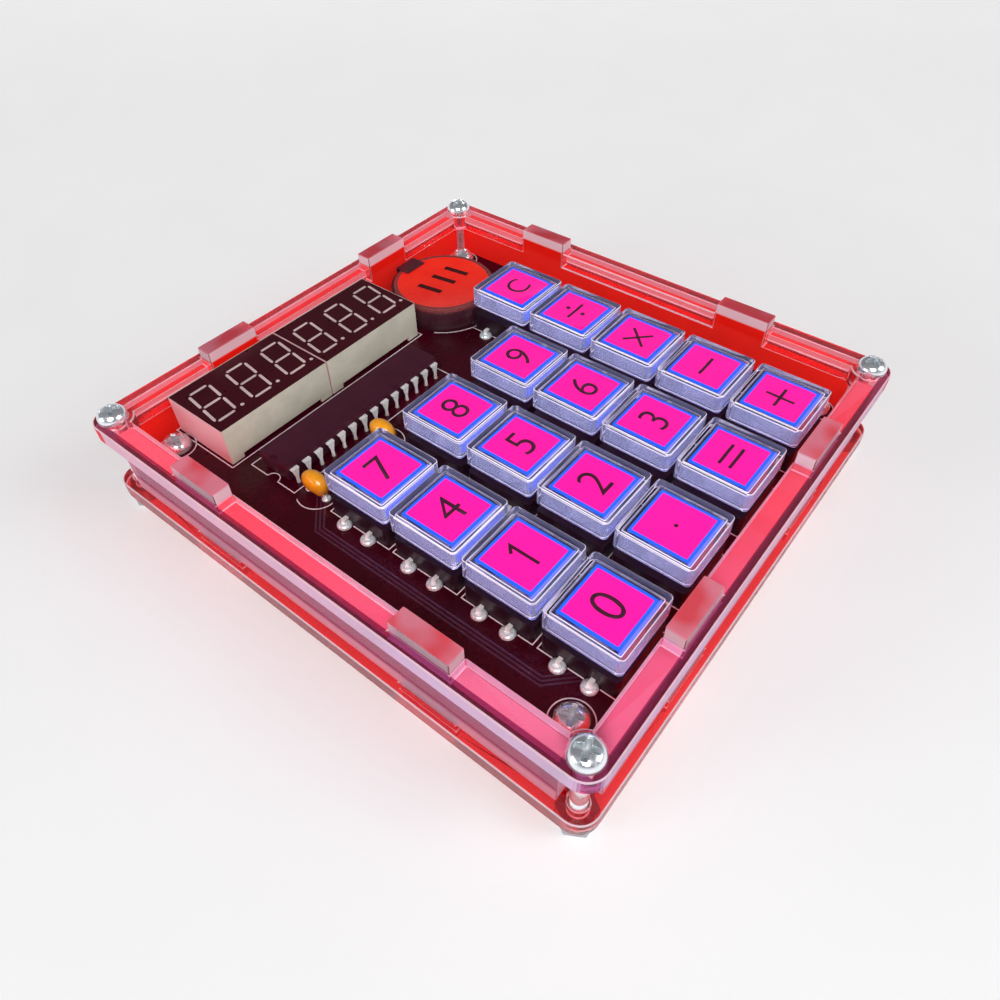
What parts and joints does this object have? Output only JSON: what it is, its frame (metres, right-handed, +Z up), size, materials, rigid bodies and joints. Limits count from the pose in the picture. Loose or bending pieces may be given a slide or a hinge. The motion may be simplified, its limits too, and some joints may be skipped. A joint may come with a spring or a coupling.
{
  "type": "pocket calculator",
  "caption": "Pocket calculator: a clear screwed case of plates and tabbed walls around a circuit board with a display, a chip, a coin cell and square push keys with clear caps.",
  "frame": {"origin": "centre of the footprint, at the level of the case nuts' undersides", "axes": "+X to the reader's right, +Y from the keys towards the display, +Z up out of the display's face"},
  "size_m": [0.0916, 0.0972, 0.0204],
  "materials": {
    "red_acrylic": "polished clear acrylic, red tint",
    "bright_steel": "bright zinc plated steel",
    "spacer_plastic": "plain moulded plastic",
    "board_laminate": "satin lacquer over glass fibre laminate",
    "display_shell": "semi-gloss, tinted face",
    "tinned_metal": "tinned, slightly dull",
    "chip_plastic": "fine moulded texture",
    "cell_steel": "brushed, plain face",
    "holder_plastic": "plain moulded plastic",
    "bead_coating": "dipped orange resin",
    "switch_plastic": "plain moulded plastic",
    "clear_cap_plastic": "polished clear plastic over a magenta and blue printed card",
    "stem_plastic": "plain moulded plastic"
  },
  "bodies": {
    "case": {"bottom_plate": "red_acrylic", "top_frame": "red_acrylic", "left_wall": "red_acrylic", "right_wall": "red_acrylic", "display_end_wall": "red_acrylic", "key_end_wall": "red_acrylic", "case_screws": "bright_steel", "case_nuts": "bright_steel", "board_screws": "bright_steel", "board_nuts": "bright_steel", "board_spacers": "spacer_plastic", "circuit_board": "board_laminate", "display_left": "display_shell", "display_right": "display_shell", "display_pins": "tinned_metal", "controller_chip": "chip_plastic", "controller_pins": "tinned_metal", "coin_cell": "cell_steel", "cell_holder": "holder_plastic", "cell_contact": "tinned_metal", "bead_capacitor_left": "bead_coating", "bead_capacitor_right": "bead_coating", "switch_housings": "switch_plastic", "switch_domes": "tinned_metal", "switch_terminals": "tinned_metal"},
    "key_clear": {"key_cap_clear": "clear_cap_plastic", "key_stem_clear": "stem_plastic"},
    "key_seven": {"key_cap_seven": "clear_cap_plastic", "key_stem_seven": "stem_plastic"},
    "key_eight": {"key_cap_eight": "clear_cap_plastic", "key_stem_eight": "stem_plastic"},
    "key_nine": {"key_cap_nine": "clear_cap_plastic", "key_stem_nine": "stem_plastic"},
    "key_divide": {"key_cap_divide": "clear_cap_plastic", "key_stem_divide": "stem_plastic"},
    "key_four": {"key_cap_four": "clear_cap_plastic", "key_stem_four": "stem_plastic"},
    "key_five": {"key_cap_five": "clear_cap_plastic", "key_stem_five": "stem_plastic"},
    "key_six": {"key_cap_six": "clear_cap_plastic", "key_stem_six": "stem_plastic"},
    "key_times": {"key_cap_times": "clear_cap_plastic", "key_stem_times": "stem_plastic"},
    "key_one": {"key_cap_one": "clear_cap_plastic", "key_stem_one": "stem_plastic"},
    "key_two": {"key_cap_two": "clear_cap_plastic", "key_stem_two": "stem_plastic"},
    "key_three": {"key_cap_three": "clear_cap_plastic", "key_stem_three": "stem_plastic"},
    "key_minus": {"key_cap_minus": "clear_cap_plastic", "key_stem_minus": "stem_plastic"},
    "key_zero": {"key_cap_zero": "clear_cap_plastic", "key_stem_zero": "stem_plastic"},
    "key_point": {"key_cap_point": "clear_cap_plastic", "key_stem_point": "stem_plastic"},
    "key_equals": {"key_cap_equals": "clear_cap_plastic", "key_stem_equals": "stem_plastic"},
    "key_plus": {"key_cap_plus": "clear_cap_plastic", "key_stem_plus": "stem_plastic"}
  },
  "joints": [
    {"name": "press_clear", "type": "slide", "parent": "case", "child": "key_clear", "axis": [0, 0, -1], "range_m": [0, 0.0003], "stiffness_N_per_m": 3000},
    {"name": "press_seven", "type": "slide", "parent": "case", "child": "key_seven", "axis": [0, 0, -1], "range_m": [0, 0.0003], "stiffness_N_per_m": 3000},
    {"name": "press_eight", "type": "slide", "parent": "case", "child": "key_eight", "axis": [0, 0, -1], "range_m": [0, 0.0003], "stiffness_N_per_m": 3000},
    {"name": "press_nine", "type": "slide", "parent": "case", "child": "key_nine", "axis": [0, 0, -1], "range_m": [0, 0.0003], "stiffness_N_per_m": 3000},
    {"name": "press_divide", "type": "slide", "parent": "case", "child": "key_divide", "axis": [0, 0, -1], "range_m": [0, 0.0003], "stiffness_N_per_m": 3000},
    {"name": "press_four", "type": "slide", "parent": "case", "child": "key_four", "axis": [0, 0, -1], "range_m": [0, 0.0003], "stiffness_N_per_m": 3000},
    {"name": "press_five", "type": "slide", "parent": "case", "child": "key_five", "axis": [0, 0, -1], "range_m": [0, 0.0003], "stiffness_N_per_m": 3000},
    {"name": "press_six", "type": "slide", "parent": "case", "child": "key_six", "axis": [0, 0, -1], "range_m": [0, 0.0003], "stiffness_N_per_m": 3000},
    {"name": "press_times", "type": "slide", "parent": "case", "child": "key_times", "axis": [0, 0, -1], "range_m": [0, 0.0003], "stiffness_N_per_m": 3000},
    {"name": "press_one", "type": "slide", "parent": "case", "child": "key_one", "axis": [0, 0, -1], "range_m": [0, 0.0003], "stiffness_N_per_m": 3000},
    {"name": "press_two", "type": "slide", "parent": "case", "child": "key_two", "axis": [0, 0, -1], "range_m": [0, 0.0003], "stiffness_N_per_m": 3000},
    {"name": "press_three", "type": "slide", "parent": "case", "child": "key_three", "axis": [0, 0, -1], "range_m": [0, 0.0003], "stiffness_N_per_m": 3000},
    {"name": "press_minus", "type": "slide", "parent": "case", "child": "key_minus", "axis": [0, 0, -1], "range_m": [0, 0.0003], "stiffness_N_per_m": 3000},
    {"name": "press_zero", "type": "slide", "parent": "case", "child": "key_zero", "axis": [0, 0, -1], "range_m": [0, 0.0003], "stiffness_N_per_m": 3000},
    {"name": "press_point", "type": "slide", "parent": "case", "child": "key_point", "axis": [0, 0, -1], "range_m": [0, 0.0003], "stiffness_N_per_m": 3000},
    {"name": "press_equals", "type": "slide", "parent": "case", "child": "key_equals", "axis": [0, 0, -1], "range_m": [0, 0.0003], "stiffness_N_per_m": 3000},
    {"name": "press_plus", "type": "slide", "parent": "case", "child": "key_plus", "axis": [0, 0, -1], "range_m": [0, 0.0003], "stiffness_N_per_m": 3000}
  ]
}
